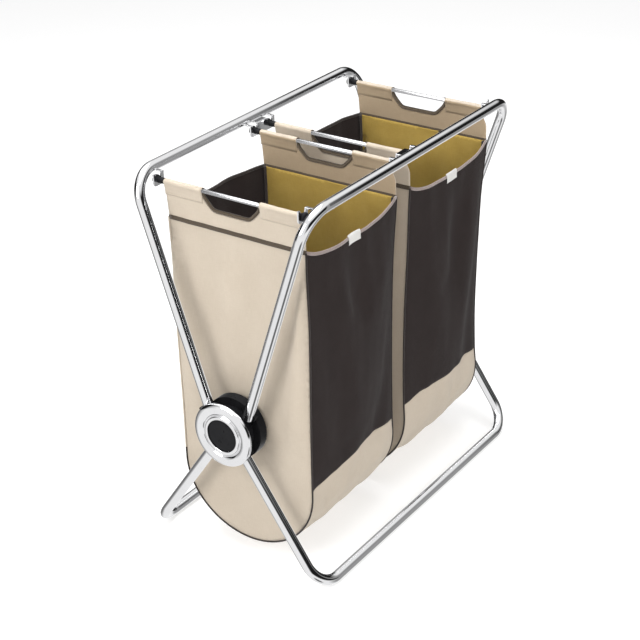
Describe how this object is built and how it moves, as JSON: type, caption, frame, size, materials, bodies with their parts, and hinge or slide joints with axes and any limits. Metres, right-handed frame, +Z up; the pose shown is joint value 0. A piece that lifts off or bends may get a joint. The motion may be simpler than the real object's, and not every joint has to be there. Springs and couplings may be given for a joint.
{
  "type": "laundry cart",
  "caption": "Folding laundry sorter: cloth bags with handle openings hang on rods across a crossed frame of bent chrome tube with round pivot hubs.",
  "frame": {"origin": "on the floor, under the middle of the cart", "axes": "+Z up, +X along the rails and the line of the two hubs, -Y the front, which is the side with the label tabs"},
  "size_m": [0.779, 0.4326, 0.79],
  "materials": {
    "chrome": "polished",
    "steel": "satin",
    "rod_steel": "satin",
    "hub_plastic": "semi-gloss",
    "cap_plastic": "satin",
    "canvas": "woven",
    "dark_cloth": "woven",
    "gold_lining": "woven",
    "label_tape": "woven"
  },
  "bodies": {
    "rear_frame": {"rear_top_tube": "chrome", "front_floor_tube": "chrome", "left_hub_housing": "hub_plastic", "left_hub_ring": "chrome", "left_pivot_bolt": "steel", "right_hub_housing": "hub_plastic", "right_hub_ring": "chrome", "right_pivot_bolt": "steel", "rear_plate_left": "chrome", "rear_plate_middle": "chrome", "rear_plate_right": "chrome"},
    "front_frame": {"front_top_tube": "chrome", "rear_floor_tube": "chrome", "left_hub_disc": "hub_plastic", "right_hub_disc": "hub_plastic", "front_plate_left": "chrome", "front_plate_middle": "chrome", "front_plate_right": "chrome"},
    "left_button": {"left_hub_button": "hub_plastic"},
    "right_button": {"right_hub_button": "hub_plastic"},
    "left_bag": {"left_bag_left_end": "canvas", "left_bag_right_end": "canvas", "left_bag_front_panel": "dark_cloth", "left_bag_rear_panel": "dark_cloth", "left_bag_bottom": "canvas", "left_bag_lining": "gold_lining", "left_bag_label": "label_tape", "left_bag_left_rod": "rod_steel", "left_bag_left_front_cap": "cap_plastic", "left_bag_left_rear_cap": "cap_plastic", "left_bag_right_rod": "rod_steel", "left_bag_right_front_cap": "cap_plastic", "left_bag_right_rear_cap": "cap_plastic"},
    "right_bag": {"right_bag_left_end": "canvas", "right_bag_right_end": "canvas", "right_bag_front_panel": "dark_cloth", "right_bag_rear_panel": "dark_cloth", "right_bag_bottom": "canvas", "right_bag_lining": "gold_lining", "right_bag_label": "label_tape", "right_bag_left_rod": "rod_steel", "right_bag_left_front_cap": "cap_plastic", "right_bag_left_rear_cap": "cap_plastic", "right_bag_right_rod": "rod_steel", "right_bag_right_front_cap": "cap_plastic", "right_bag_right_rear_cap": "cap_plastic"}
  },
  "joints": [
    {"name": "frame_fold", "type": "hinge", "parent": "rear_frame", "child": "front_frame", "pos_m": [0, 0, 0.298], "axis": [-1, 0, 0], "range_deg": [0, 37], "deforming": ["left_bag_left_end", "left_bag_right_end", "left_bag_front_panel", "left_bag_rear_panel", "left_bag_bottom", "left_bag_lining", "left_bag_label", "right_bag_left_end", "right_bag_right_end", "right_bag_front_panel", "right_bag_rear_panel", "right_bag_bottom", "right_bag_lining", "right_bag_label"]},
    {"name": "left_bag_lift", "type": "slide", "parent": "rear_frame", "child": "left_bag", "axis": [0, 0, 1], "range_m": [0, 0.95]},
    {"name": "right_bag_lift", "type": "slide", "parent": "rear_frame", "child": "right_bag", "axis": [0, 0, 1], "range_m": [0, 0.95]},
    {"name": "left_button_press", "type": "slide", "parent": "rear_frame", "child": "left_button", "axis": [1, 0, 0], "range_m": [0, 0.0028], "stiffness_N_per_m": 300, "springref_m": -0.001},
    {"name": "right_button_press", "type": "slide", "parent": "rear_frame", "child": "right_button", "axis": [-1, 0, 0], "range_m": [0, 0.0028], "stiffness_N_per_m": 300, "springref_m": -0.001}
  ],
  "couplings": [
    {"joint": "left_bag_lift", "follows": "frame_fold", "m_per_rad": 1.4},
    {"joint": "right_bag_lift", "follows": "frame_fold", "m_per_rad": 1.4}
  ]
}
